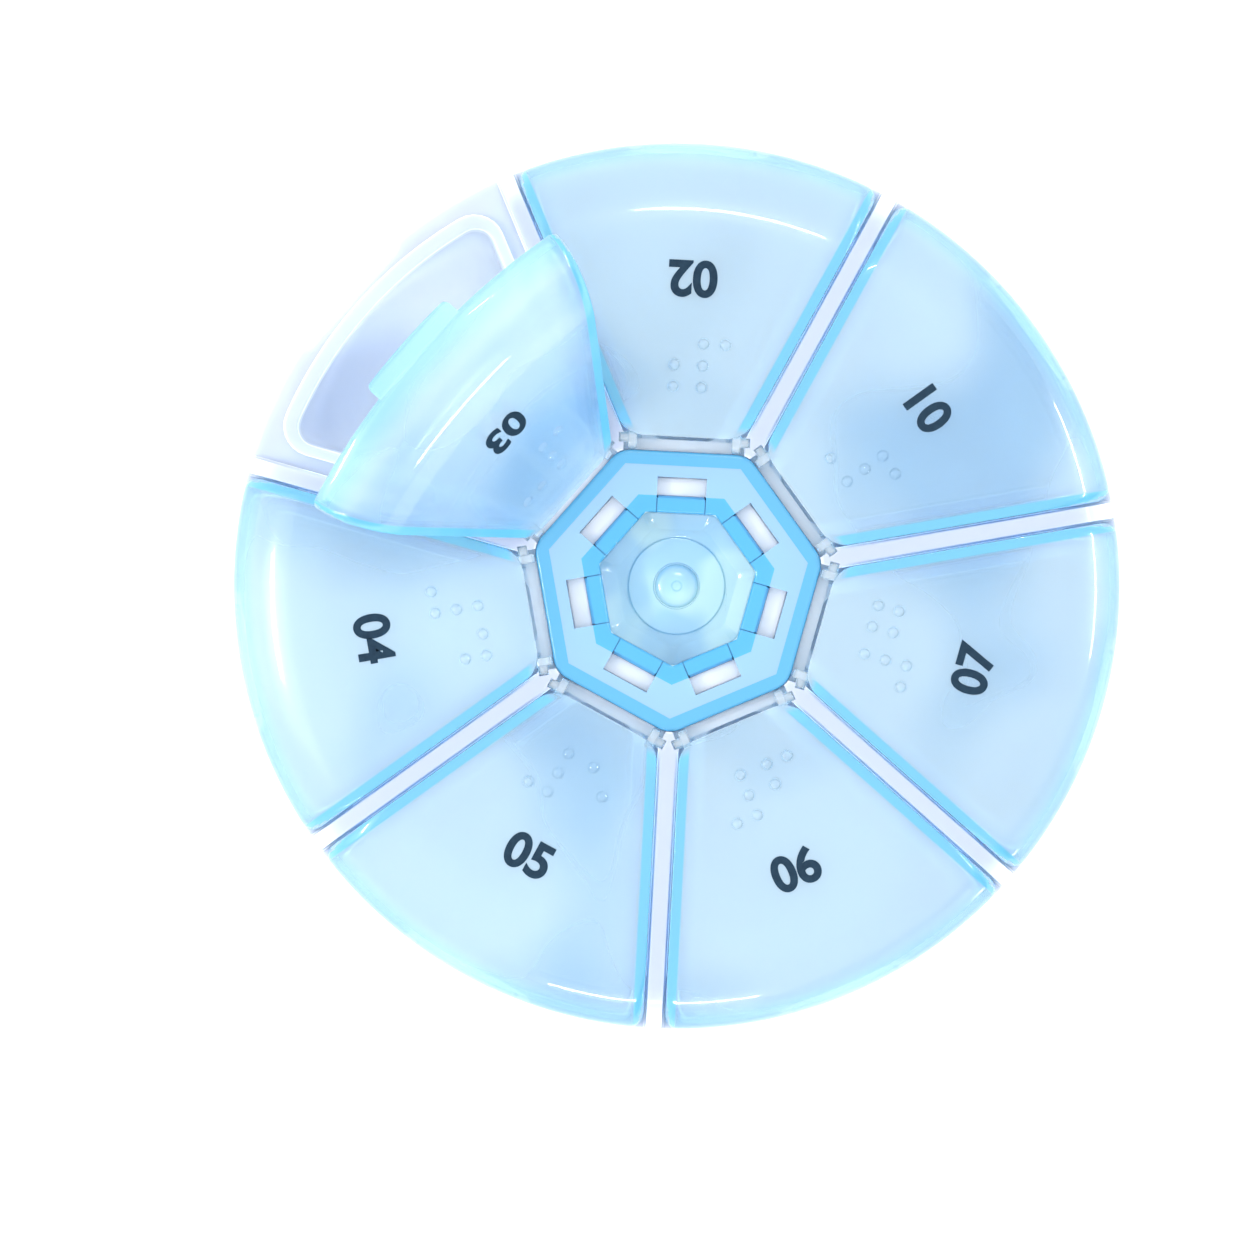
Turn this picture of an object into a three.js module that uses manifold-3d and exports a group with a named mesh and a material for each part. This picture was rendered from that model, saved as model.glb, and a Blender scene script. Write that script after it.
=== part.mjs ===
// Round seven-day pill organizer: a moulded tray with seven wedge-shaped cups round a heptagonal hub, a ring
// welded into the hub, a cap that snaps into the ring, and seven domed lids that swing up on moulded pins.
// Millimetres, +Z up, origin at the middle of the underside.
import * as THREE from 'three';
import { mergeVertices } from 'three/addons/utils/BufferGeometryUtils.js';
import Module from 'manifold-3d';

const wasm = await Module();
wasm.setup();

// Counts and angles
const dayCount = 7;
const facetsPerDay = 12;
const roundFacets = dayCount * facetsPerDay;
const halfBay = Math.PI / dayCount;
const firstDayAngle = Math.PI / 2 - 2 * halfBay;
const openDay = 3;
const openAngle = THREE.MathUtils.degToRad(56);
const draft = Math.tan(THREE.MathUtils.degToRad(1.5));
const domeSteps = 5;
const vaultSteps = 4;
const bowlSteps = 5;
const rimSteps = 5;
const cornerSteps = 2;
const pinFacets = 12;
const wellFacets = 28;

// Overall form
const bodyRadius = 46;
const bodyHeight = 22;
const curveRun = 10;
const baseCurveHeight = 12;
const overrun = 1;
const mergeTolerance = 1e-4;

// Lids
const lidDepth = 4.9;
const lidWall = 1.2;
const skirtWall = 0.9;
const lidGap = 2.6;
const lidRimCorner = 1.2;
const lidHingeCorner = 1.8;
const tabWidth = 12;
const tabDrop = 2.1;

// Hinges: the axis lies below the lid's top and just inside its hinge edge
const hingeDrop = 1.2;
const hingeSetback = 0.3;
const pinRadius = 0.6;
const pinBite = 0.42;
const lugRadius = 1.15;
const lugWidth = 0.9;
const lugInset = 0.8;
const socketThroat = 1;

// Clearances
const seatClearance = 0.3;
const sideClearance = 0.3;
const swingClearance = 0.25;
const hingeClearance = 0.16;
const pinClearance = 0.12;
const pinEndClearance = 0.1;
const capClearance = 0.2;
const snapClearance = 0.3;

// Tray
const floorThickness = 1.6;
const ribDrop = 0.2;
const lipHeight = 1;
const lipWall = 1.6;
const sideLipWall = 1.2;
const cupWall = 1.3;
const cupCorner = 2;
const cupFillet = 2;
const hubWall = 1.2;
const notchWidth = 14.8;
const notchRecess = 1.2;
const notchDepth = 2.6;
const scoopRadius = 5;
const scoopDepth = 2;

// Ring in the hub
const snapRingWall = 1.9;

// Hub cap
const capApothem = 13.7;
const capCorner = 2.5;
const capRise = 0.5;
const capEdge = 0.5;
const capFlange = 1.1;
const skirtThickness = 1.4;
const skirtDepth = 7;
const wellApothem = 7.5;
const wellCorner = 1.2;
const wellWall = 1.53;
const wellDepth = 5.2;
const wellFloor = 1.2;
const windowLength = 5.1;
const windowWidth = 2.17;
const slitWidth = 0.35;
const slitStop = 0.5;
const hookReach = 0.7;
const hookHeight = 1.2;
const hookDrop = 2.5;
const buttonRadius = 2.2;
const buttonRise = 0.6;
const ringStepRadius = 5.1;
const ringStepRise = 0.25;

// Heights that follow from the sizes above
const lidRimZ = bodyHeight - lidDepth;
const ledgeZ = lidRimZ - seatClearance;
const lipTopZ = ledgeZ + lipHeight;
const ribTopZ = bodyHeight - ribDrop;
const hingeZ = bodyHeight - hingeDrop;
const capTopZ = hingeZ + capRise;
const flangeZ = capTopZ - capFlange;
const snapRingTopZ = flangeZ - snapClearance;
const wellFloorZ = capTopZ - wellDepth;
const hookTopZ = capTopZ - hookDrop;

// Places in plan that follow from the sizes above
const hingeEdgeSwing = Math.hypot(hingeSetback, hingeDrop);
const hingeApothem = capApothem + hingeEdgeSwing + hingeClearance;
const hubInner = capApothem + capClearance;
const hubOuter = hubInner + hubWall;
const lidNear = hingeApothem + hingeSetback;
const lidSide = lidGap / 2;
const ribSide = lidSide - sideClearance;
const curveCentre = bodyRadius - curveRun;
const vaultRun = curveRun - lidWall;
const vaultRise = lidDepth - lidWall;
const lipOuter = curveCentre + vaultRun * Math.sqrt(1 - ((lipTopZ - lidRimZ) / vaultRise) ** 2) - sideClearance;
const cupReach = lipOuter - lipWall;
const lipSide = lidSide + skirtWall + sideClearance;
const cupSide = lipSide + sideLipWall;
const swingRadius = Math.max(hingeEdgeSwing, lugRadius) + swingClearance;
const pinTip = halfWidthAt(lidNear, lidSide) + sideClearance + pinBite;
const wellWallFace = wellApothem + wellWall;
const snapRingInner = wellWallFace + snapClearance;
const snapRingOuter = snapRingInner + snapRingWall;

// Half the width of a bay at distance x from the centre, its sides set off the rib's centre line by side.
function halfWidthAt(x, side) {
  return x * Math.tan(halfBay) - side / Math.cos(halfBay);
}

function dayAngle(day) {
  return firstDayAngle + (day - 1) * 2 * halfBay;
}

function arc(centreX, centreY, radius, from, to, steps) {
  const points = [];
  for (let i = 0; i <= steps; i++) {
    const angle = from + (to - from) * i / steps;
    points.push(new THREE.Vector2(centreX + radius * Math.cos(angle), centreY + radius * Math.sin(angle)));
  }
  return points;
}

// Wedge-shaped outline of one bay about +X: a round outer edge, two straight sides parallel to the ribs
// and a straight hub-side edge, with its four corners rounded. Where the sides come too close together
// for the hub-side corners, that edge moves outwards.
function bayOutline({ reach, side, near, outerCorner, innerCorner }) {
  const cornerOrbit = reach - outerCorner;
  const turn = halfBay - Math.asin((side + outerCorner) / cornerOrbit);
  const outerX = cornerOrbit * Math.cos(turn);
  const outerY = cornerOrbit * Math.sin(turn);
  const sidesMeetX = (side + innerCorner) / Math.sin(halfBay);
  const innerX = Math.max(near + innerCorner, sidesMeetX + innerCorner / 4);
  const innerY = halfWidthAt(innerX, side + innerCorner);
  const sideNormal = halfBay + Math.PI / 2;
  const half = [
    ...arc(0, 0, reach, 0, turn, rimSteps),
    ...arc(outerX, outerY, outerCorner, turn, sideNormal, cornerSteps).slice(1),
    ...arc(innerX, innerY, innerCorner, sideNormal, Math.PI, cornerSteps),
  ];
  const mirrored = half.slice(1).reverse().map((p) => new THREE.Vector2(p.x, -p.y));
  return [...half, ...mirrored];
}

// Heptagon whose flat sides face the seven lids.
function heptagon(apothem, corner) {
  const centreOrbit = (apothem - corner) / Math.cos(halfBay);
  const points = [];
  for (let day = 1; day <= dayCount; day++) {
    const from = dayAngle(day);
    const x = centreOrbit * Math.cos(from + halfBay);
    const y = centreOrbit * Math.sin(from + halfBay);
    points.push(...arc(x, y, corner, from, from + 2 * halfBay, cornerSteps));
  }
  return points;
}

// Closed surface through outlines that have the same number of points, from the lowest to the highest.
function loft(sections) {
  const count = sections[0].outline.length;
  const positions = [];
  for (const { outline, z } of sections) {
    outline.forEach((p) => positions.push(p.x, p.y, z));
  }
  const index = [];
  for (let level = 0; level < sections.length - 1; level++) {
    for (let i = 0; i < count; i++) {
      const a = level * count + i;
      const b = level * count + (i + 1) % count;
      index.push(a, b, b + count, a, b + count, a + count);
    }
  }
  const top = (sections.length - 1) * count;
  for (const [a, b, c] of THREE.ShapeUtils.triangulateShape(sections[0].outline, [])) {
    index.push(c, b, a);
  }
  for (const [a, b, c] of THREE.ShapeUtils.triangulateShape(sections.at(-1).outline, [])) {
    index.push(top + a, top + b, top + c);
  }
  const geometry = new THREE.BufferGeometry();
  geometry.setAttribute('position', new THREE.Float32BufferAttribute(positions, 3));
  geometry.setIndex(index);
  return geometry;
}

function prism(outline, lowZ, highZ) {
  return loft([{ outline, z: lowZ }, { outline, z: highZ }]);
}

// Bar of constant section along the tangent: the profile is given as [x, z] points.
function tangentBar(profile, halfLength) {
  const shape = new THREE.Shape(profile.map(([x, z]) => new THREE.Vector2(x, z)));
  const geometry = new THREE.ExtrudeGeometry(shape, { depth: 2 * halfLength, bevelEnabled: false });
  return geometry.rotateX(Math.PI / 2).translate(0, halfLength, 0);
}

function block(lowX, highX, lowY, highY, lowZ, highZ) {
  const geometry = new THREE.BoxGeometry(highX - lowX, highY - lowY, highZ - lowZ);
  return geometry.translate((lowX + highX) / 2, (lowY + highY) / 2, (lowZ + highZ) / 2);
}

function turned(profile, facets) {
  const lathe = new THREE.LatheGeometry(profile, facets);
  return lathe.rotateX(Math.PI / 2);
}

function toSolid(geometry) {
  const bare = geometry.clone();
  bare.deleteAttribute('normal');
  bare.deleteAttribute('uv');
  const merged = mergeVertices(bare, mergeTolerance);
  return new wasm.Manifold(new wasm.Mesh({
    numProp: 3,
    vertProperties: Float32Array.from(merged.attributes.position.array),
    triVerts: Uint32Array.from(merged.index.array),
  }));
}

function toGeometry(solid) {
  const mesh = solid.getMesh();
  const geometry = new THREE.BufferGeometry();
  geometry.setAttribute('position', new THREE.BufferAttribute(Float32Array.from(mesh.vertProperties), 3));
  geometry.setIndex(new THREE.BufferAttribute(Uint32Array.from(mesh.triVerts), 1));
  geometry.computeVertexNormals();
  return geometry;
}

function join(geometries) {
  return geometries.map(toSolid).reduce((sum, next) => sum.add(next));
}

// The same cut for each of the seven days.
function forEachDay(geometry) {
  const copies = [];
  for (let day = 1; day <= dayCount; day++) {
    copies.push(geometry.clone().rotateZ(dayAngle(day)));
  }
  return join(copies);
}

// Quarter ellipse from the upright side to the level top or floor, as [distance from centre, height] pairs.
function quarterCurve(centre, run, baseZ, rise, steps) {
  const points = [];
  for (let i = 0; i <= steps; i++) {
    const angle = i / steps * Math.PI / 2;
    points.push([centre + run * Math.cos(angle), baseZ + rise * Math.sin(angle)]);
  }
  return points;
}

// One lid, closed, about +X in the row's frame.
function lidSolid() {
  const corners = { outerCorner: lidRimCorner, innerCorner: lidHingeCorner };
  const outside = quarterCurve(curveCentre, curveRun, lidRimZ, lidDepth, domeSteps).map(([reach, z]) => (
    { outline: bayOutline({ reach, side: lidSide, near: lidNear, ...corners }), z }
  ));
  const vaultSide = lidSide + skirtWall;
  const vaultNear = lidNear - lidHingeCorner - overrun;
  const vault = quarterCurve(curveCentre, vaultRun, lidRimZ, vaultRise, vaultSteps);
  const inside = [[curveCentre + vaultRun, lidRimZ - overrun], ...vault].map(([reach, z]) => (
    { outline: bayOutline({ reach, side: vaultSide, near: vaultNear, ...corners }), z }
  ));
  const plateZ = bodyHeight - lidWall;
  const skirtRelief = tangentBar([
    [lidNear - overrun, plateZ],
    [lidNear, plateZ],
    [lidNear + plateZ - lidRimZ + overrun, lidRimZ - overrun],
    [lidNear - overrun, lidRimZ - overrun],
  ], bodyRadius);
  const shell = toSolid(loft(outside)).subtract(toSolid(loft(inside))).subtract(toSolid(skirtRelief));
  return shell.add(fingerTab()).add(hingeLugs());
}

// Finger tab under the middle of the rim: flat inside, round outside like the rim that it continues.
function fingerTab() {
  const tabFace = bodyRadius - notchRecess + swingClearance;
  const bottomZ = lidRimZ - tabDrop;
  const topZ = lidRimZ + lidWall / 2;
  const blank = block(tabFace, bodyRadius + overrun, -tabWidth / 2, tabWidth / 2, bottomZ, topZ);
  const rimRound = turned([
    new THREE.Vector2(0, bottomZ - overrun),
    new THREE.Vector2(bodyRadius, bottomZ - overrun),
    new THREE.Vector2(bodyRadius, lidRimZ),
    ...quarterCurve(curveCentre, curveRun, lidRimZ, lidDepth, domeSteps).slice(1)
      .map(([r, z]) => new THREE.Vector2(r, z)),
    new THREE.Vector2(0, bodyHeight),
  ], roundFacets);
  return toSolid(blank).intersect(toSolid(rimRound));
}

// Two lugs at the ends of the hinge edge, each with the pin that snaps into the rib beside it.
function hingeLugs() {
  const lugEnd = halfWidthAt(lidNear, lidSide) - lugInset + lugWidth / 2;
  const lugStart = lugEnd - lugWidth;
  const pieces = [];
  for (const way of [-1, 1]) {
    const lug = new THREE.CylinderGeometry(lugRadius, lugRadius, lugWidth, pinFacets);
    pieces.push(lug.translate(hingeApothem, way * (lugStart + lugEnd) / 2, hingeZ));
    const pinStart = lugStart + lugWidth / 2;
    const pin = new THREE.CylinderGeometry(pinRadius, pinRadius, pinTip - pinStart, pinFacets);
    pieces.push(pin.translate(hingeApothem, way * (pinStart + pinTip) / 2, hingeZ));
  }
  return join(pieces);
}

// Outside of the tray: a flat base, a rounded foot, an upright wall and, over the ribs, the lids' dome.
function trayBlank() {
  const foot = quarterCurve(curveCentre, curveRun, baseCurveHeight, -baseCurveHeight, bowlSteps).reverse();
  const dome = quarterCurve(curveCentre, curveRun, ledgeZ, ribTopZ - ledgeZ, domeSteps);
  return toSolid(turned([
    new THREE.Vector2(0, 0),
    ...[...foot, ...dome].map(([r, z]) => new THREE.Vector2(r, z)),
    new THREE.Vector2(0, ribTopZ),
  ], roundFacets));
}

// One cup: upright walls with draft, rounded corners, a filleted floor and a deep curve at the outer wall.
function cup() {
  const bowl = quarterCurve(
    curveCentre, cupReach - curveCentre, baseCurveHeight, floorThickness - baseCurveHeight, bowlSteps,
  ).reverse();
  const levels = [...bowl, [cupReach, lipTopZ + overrun]];
  return loft(levels.map(([reach, z]) => {
    const aboveFloor = Math.min(Math.max(z - floorThickness, 0), cupFillet);
    const fillet = cupFillet - Math.sqrt(cupFillet ** 2 - (cupFillet - aboveFloor) ** 2);
    const inset = (lipTopZ - z) * draft + fillet;
    const outline = bayOutline({
      reach,
      side: cupSide + inset,
      near: hubOuter + inset,
      outerCorner: cupCorner,
      innerCorner: cupCorner,
    });
    return { outline, z };
  }));
}

// Room for one lid: its own outline and side clearance, down to the ledge outside the cup's raised lip.
function lidSeat() {
  const room = bayOutline({
    reach: bodyRadius + lidRimCorner + overrun,
    side: ribSide,
    near: hubOuter,
    outerCorner: lidRimCorner,
    innerCorner: lidHingeCorner - sideClearance,
  });
  const lip = bayOutline({
    reach: lipOuter,
    side: lipSide,
    near: hubInner,
    outerCorner: cupCorner + sideLipWall,
    innerCorner: hubWall,
  });
  return toSolid(prism(room, ledgeZ, bodyHeight + overrun)).subtract(toSolid(prism(lip, ledgeZ - overrun, lipTopZ)));
}

// Round-bottomed trough along the hinge edge, in which the lid's edge and lugs swing.
function hingeTrough() {
  const low = arc(hingeApothem, hingeZ, swingRadius, Math.PI, 2 * Math.PI, pinFacets / 2);
  const topZ = bodyHeight + overrun;
  const profile = [
    ...low.map((p) => [p.x, p.y]),
    [hingeApothem + swingRadius, topZ],
    [hingeApothem - swingRadius, topZ],
  ];
  return tangentBar(profile, halfWidthAt(lidNear, lidSide) + sideClearance);
}

// Snap-in sockets for the two pins: round, with a throat narrower than the pin, open at the top.
function pinSockets() {
  const radius = pinRadius + pinClearance;
  const throatTurn = Math.asin(socketThroat / 2 / radius);
  const round = arc(hingeApothem, hingeZ, radius, Math.PI / 2 + throatTurn, 5 * Math.PI / 2 - throatTurn, pinFacets);
  const topZ = bodyHeight + overrun;
  const profile = [
    ...round.map((p) => [p.x, p.y]),
    [hingeApothem + socketThroat / 2, topZ],
    [hingeApothem - socketThroat / 2, topZ],
  ];
  return tangentBar(profile, pinTip + pinEndClearance);
}

// Flat recess for the finger tab, over a hollow that lets a fingertip under it.
function fingerNotch() {
  const recessX = bodyRadius - notchRecess;
  const half = notchWidth / 2;
  const recess = block(recessX, bodyRadius + overrun, -half, half, ledgeZ - notchDepth, ledgeZ + overrun);
  const scoop = new THREE.CylinderGeometry(scoopRadius, scoopRadius, notchWidth, 2 * pinFacets);
  const scoopZ = ledgeZ - notchDepth - scoopDepth;
  return join([recess, scoop.translate(bodyRadius - scoopDepth + scoopRadius, 0, scoopZ)]);
}

// Space between two neighbouring cups, open at the underside, so that every wall has about one thickness.
function ribCore() {
  const topZ = ledgeZ - cupWall;
  const halfAt = (z) => cupSide + (lipTopZ - z) * draft - cupWall;
  const start = hubOuter / Math.cos(halfBay) + cupWall;
  const shape = new THREE.Shape([
    new THREE.Vector2(-halfAt(-overrun), -overrun),
    new THREE.Vector2(halfAt(-overrun), -overrun),
    new THREE.Vector2(halfAt(topZ), topZ),
    new THREE.Vector2(-halfAt(topZ), topZ),
  ]);
  const bar = new THREE.ExtrudeGeometry(shape, { depth: bodyRadius - start, bevelEnabled: false });
  return bar.rotateX(Math.PI / 2).rotateZ(Math.PI / 2).translate(start, 0, 0).rotateZ(halfBay);
}

// Inside of the rounded foot, which bounds the spaces under the ribs.
function footInside() {
  const bowl = quarterCurve(
    curveCentre, cupReach - curveCentre, baseCurveHeight, floorThickness - baseCurveHeight, bowlSteps,
  ).reverse();
  return toSolid(turned([
    new THREE.Vector2(0, -2 * overrun),
    new THREE.Vector2(curveCentre, -2 * overrun),
    ...bowl.map(([r, z]) => new THREE.Vector2(r, z)),
    new THREE.Vector2(cupReach, ledgeZ),
    new THREE.Vector2(0, ledgeZ),
  ], roundFacets));
}

function traySolid() {
  const hubCavity = prism(heptagon(hubInner, capCorner + capClearance), floorThickness, bodyHeight + overrun);
  const seat = toGeometry(lidSeat());
  return trayBlank()
    .subtract(forEachDay(seat))
    .subtract(forEachDay(cup()))
    .subtract(forEachDay(hingeTrough()))
    .subtract(forEachDay(pinSockets()))
    .subtract(forEachDay(toGeometry(fingerNotch())))
    .subtract(forEachDay(ribCore()).intersect(footInside()))
    .subtract(toSolid(hubCavity));
}

// Heptagonal ring that stands on the hub's floor, with a slot in each side for a finger of the cap.
function snapRingSolid() {
  const lowZ = floorThickness;
  const outside = toSolid(prism(heptagon(snapRingOuter, wellCorner + snapRingWall), lowZ, snapRingTopZ));
  const inside = toSolid(prism(heptagon(snapRingInner, wellCorner), lowZ - overrun, snapRingTopZ + overrun));
  const slot = block(
    snapRingInner - overrun,
    snapRingOuter + overrun,
    -windowLength / 2,
    windowLength / 2,
    hookTopZ - hookHeight - snapClearance,
    hookTopZ + snapClearance,
  );
  return outside.subtract(inside).subtract(forEachDay(slot));
}

// Hub cap: a heptagonal flange with an outer skirt and a central well, whose wall carries seven snap fingers.
function capSolid() {
  const skirtZ = flangeZ - skirtDepth;
  const outside = loft([
    { outline: heptagon(capApothem, capCorner), z: skirtZ },
    { outline: heptagon(capApothem, capCorner), z: capTopZ - capEdge },
    ...quarterCurve(capApothem - capEdge, capEdge, capTopZ - capEdge, capEdge, cornerSteps).slice(1)
      .map(([apothem, z]) => ({ outline: heptagon(apothem, capCorner), z })),
  ]);
  const skirtInside = prism(heptagon(capApothem - skirtThickness, capCorner - capEdge), skirtZ - overrun, flangeZ);
  const wellOutside = prism(
    heptagon(wellWallFace, wellCorner),
    wellFloorZ - wellFloor,
    flangeZ + overrun,
  );
  const wellInside = prism(heptagon(wellApothem, wellCorner), wellFloorZ, capTopZ + overrun);
  const cap = toSolid(outside)
    .subtract(toSolid(skirtInside).subtract(toSolid(wellOutside)))
    .subtract(toSolid(wellInside));
  return cap.subtract(forEachDay(toGeometry(fingerCuts()))).add(forEachDay(snapHook())).add(wellButton());
}

// Window over one hook and the two slits that free its finger.
function fingerCuts() {
  const half = windowLength / 2;
  const cuts = [block(wellWallFace, wellWallFace + windowWidth, -half, half, flangeZ - overrun, capTopZ + overrun)];
  for (const way of [-1, 1]) {
    const near = way * (half - slitWidth);
    const far = way * half;
    cuts.push(block(
      wellApothem - overrun,
      wellWallFace + windowWidth / 2,
      Math.min(near, far),
      Math.max(near, far),
      wellFloorZ + slitStop,
      capTopZ + overrun,
    ));
  }
  return join(cuts);
}

function snapHook() {
  return tangentBar([
    [wellWallFace - wellWall / 2, hookTopZ],
    [wellWallFace - wellWall / 2, hookTopZ - hookHeight],
    [wellWallFace, hookTopZ - hookHeight],
    [wellWallFace + hookReach, hookTopZ - hookHeight / 4],
    [wellWallFace + hookReach, hookTopZ],
  ], windowLength / 2 - slitWidth);
}

// Low round step and the domed button on it, in the middle of the well.
function wellButton() {
  const stepZ = wellFloorZ + ringStepRise;
  return toSolid(turned([
    new THREE.Vector2(0, wellFloorZ - wellFloor / 2),
    new THREE.Vector2(ringStepRadius, wellFloorZ - wellFloor / 2),
    new THREE.Vector2(ringStepRadius, stepZ),
    ...quarterCurve(0, buttonRadius, stepZ, buttonRise, vaultSteps).slice(0, -1)
      .map(([r, z]) => new THREE.Vector2(r, z)),
    new THREE.Vector2(0, stepZ + buttonRise),
  ], wellFacets));
}

const trayPlastic = { color: 0xe1e8fa, roughness: 0.35, metalness: 0 };
const lidPlastic = { color: 0xc4e6fc, roughness: 0.22, metalness: 0 };
const capPlastic = { color: 0x8ed8ff, roughness: 0.22, metalness: 0 };

function named(name, geometry, plastic) {
  const mesh = new THREE.Mesh(geometry, new THREE.MeshStandardMaterial({ ...plastic, flatShading: true }));
  mesh.name = name;
  return mesh;
}

const group = new THREE.Group();
group.name = 'pill_organizer';
group.add(named('tray', toGeometry(traySolid()), trayPlastic));
group.add(named('snap_ring', toGeometry(snapRingSolid()), trayPlastic));
group.add(named('hub_cap', toGeometry(capSolid()), capPlastic));

// Each lid hangs in a group at its own hinge, and one of them stands open.
const lidGeometry = toGeometry(lidSolid()).translate(-hingeApothem, 0, -hingeZ);
for (let day = 1; day <= dayCount; day++) {
  const bay = new THREE.Group();
  bay.rotation.z = dayAngle(day);
  const lid = named(`lid_day_${day}`, lidGeometry.clone(), lidPlastic);
  lid.position.set(hingeApothem, 0, hingeZ);
  if (day === openDay) {
    lid.rotation.y = -openAngle;
  }
  bay.add(lid);
  group.add(bay);
}

export default group;
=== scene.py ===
"""Looks of a round seven-day pill organizer: frosted tray, blue hub cap and seven blue hinged lids."""
import math

import bmesh
import bpy
from mathutils import Matrix, Vector


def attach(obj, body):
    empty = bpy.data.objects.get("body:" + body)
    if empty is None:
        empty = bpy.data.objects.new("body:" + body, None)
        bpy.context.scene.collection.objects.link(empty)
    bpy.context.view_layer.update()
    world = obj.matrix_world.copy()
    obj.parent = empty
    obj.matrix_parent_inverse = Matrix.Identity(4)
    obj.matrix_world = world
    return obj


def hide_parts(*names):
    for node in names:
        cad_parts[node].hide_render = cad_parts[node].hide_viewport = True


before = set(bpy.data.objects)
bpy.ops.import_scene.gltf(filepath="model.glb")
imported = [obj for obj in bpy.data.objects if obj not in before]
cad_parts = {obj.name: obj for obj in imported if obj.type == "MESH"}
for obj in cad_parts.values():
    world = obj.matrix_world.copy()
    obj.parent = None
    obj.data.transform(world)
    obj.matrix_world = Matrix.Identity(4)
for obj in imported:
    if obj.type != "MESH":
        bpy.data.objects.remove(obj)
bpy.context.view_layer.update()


# Tray. One injection moulding in frosted white polypropylene: seven wedge-shaped cups round a hub with
# seven sides. Each cup has a raised lip for its lid to close over, and ribs stand between the lids.
MM = 0.001
DAYS = range(1, 8)
HALF_BAY = math.pi / 7
ALL_ROUND = 336


def day_angle(day):
    return math.pi / 2 + (day - 2) * 2 * HALF_BAY


def arc(x, y, radius, start, end, steps):
    turns = [start + (end - start) * i / steps for i in range(steps + 1)]
    return [(x + radius * math.cos(turn), y + radius * math.sin(turn)) for turn in turns]


def half_width(x, side):
    """Half the width of a bay at distance x from the hub's middle, side away from the ribs' middle lines."""
    return x * math.tan(HALF_BAY) - side / math.cos(HALF_BAY)


def bay(reach, side, near, outer, inner):
    """Plan of one bay about +X: round at the rim, straight along both ribs and along the hub, corners rounded."""
    orbit = reach - outer
    turn = HALF_BAY - math.asin((side + outer) / orbit)
    edge = max(near + inner, (side + inner) / math.sin(HALF_BAY) + inner / 4)
    square = HALF_BAY + math.pi / 2
    half = arc(0, 0, reach, 0, turn, 22)
    half += arc(orbit * math.cos(turn), orbit * math.sin(turn), outer, turn, square, 7)[1:]
    half += arc(edge, half_width(edge, side + inner), inner, square, math.pi, 7)
    return half + [(x, -y) for x, y in reversed(half[1:])]


def heptagon(apothem, corner, steps=6):
    """Plan of the hub: seven sides that face the lids."""
    orbit = (apothem - corner) / math.cos(HALF_BAY)
    points = []
    for day in DAYS:
        turn = day_angle(day)
        middle = turn + HALF_BAY
        points += arc(orbit * math.cos(middle), orbit * math.sin(middle), corner, turn, middle + HALF_BAY, steps)
    return points


def circle(radius, count=ALL_ROUND, first=0.0):
    return arc(0, 0, radius, first, first + 2 * math.pi * (count - 1) / count, count - 1)


def level(plan, z):
    return [(x, y, z) for x, y in plan]


def quarter(centre, run, base, rise, steps):
    """Quarter ellipse from the upright side to the level top or floor, as (distance, height)."""
    turns = [math.pi / 2 * i / steps for i in range(steps + 1)]
    return [(centre + run * math.cos(turn), base + rise * math.sin(turn)) for turn in turns]


def mould(name, levels):
    """Closed body through a row of outlines: a filled circle becomes the first and is extruded to each next one."""
    bpy.ops.object.select_all(action="DESELECT")
    bpy.ops.mesh.primitive_circle_add(vertices=len(levels[0]), radius=MM, fill_type="NGON")
    piece = bpy.context.object
    piece.name = piece.data.name = name
    bpy.ops.object.mode_set(mode="EDIT")
    for number, points in enumerate(levels):
        if number:
            bpy.ops.mesh.extrude_region_move(TRANSFORM_OT_translate={"value": (0, 0, MM)})
        mesh = bmesh.from_edit_mesh(piece.data)
        front = next(face for face in mesh.faces if face.select)
        for vertex, point in zip(front.verts, points):
            vertex.co = Vector(point) * MM
        bmesh.update_edit_mesh(piece.data)
    bpy.ops.mesh.select_all(action="SELECT")
    bpy.ops.mesh.normals_make_consistent(inside=False)
    bpy.ops.object.mode_set(mode="OBJECT")
    return piece


def copy_of(piece, name, turn=0.0, about=(0, 0, 0), axis="Z"):
    """Copy with its own mesh, turned about a point, its place kept in the mesh."""
    copy = piece.copy()
    copy.data = piece.data.copy()
    copy.name = copy.data.name = name
    bpy.context.scene.collection.objects.link(copy)
    place = Matrix.Translation(Vector(about) * MM) @ Matrix.Rotation(turn, 4, axis)
    copy.data.transform(place @ Matrix.Translation(-Vector(about) * MM))
    return copy


def for_each_day(piece):
    """The body made about +X becomes seven, one in each bay, joined into one object."""
    bpy.ops.object.select_all(action="DESELECT")
    for day in DAYS:
        copy_of(piece, "bay_copy", day_angle(day)).select_set(True)
    bpy.data.objects.remove(piece)
    bpy.context.view_layer.objects.active = bpy.context.selected_objects[0]
    bpy.ops.object.join()
    return bpy.context.object


def combine(piece, tool, operation="DIFFERENCE"):
    bpy.ops.object.select_all(action="DESELECT")
    bpy.context.view_layer.objects.active = piece
    piece.select_set(True)
    change = piece.modifiers.new("combine", "BOOLEAN")
    change.object = tool
    change.operation = operation
    change.solver = "MANIFOLD"
    bpy.ops.object.modifier_apply(modifier=change.name)
    bpy.data.objects.remove(tool)
    return piece


def smooth(piece, degrees=32):
    """Smooth shading that keeps the flats flat and breaks at real edges."""
    bpy.ops.object.select_all(action="DESELECT")
    bpy.context.view_layer.objects.active = piece
    piece.select_set(True)
    bpy.ops.object.shade_smooth_by_angle(angle=math.radians(degrees))
    even = piece.modifiers.new("even", "WEIGHTED_NORMAL")
    even.keep_sharp = True
    bpy.ops.object.modifier_apply(modifier=even.name)
    return piece


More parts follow.
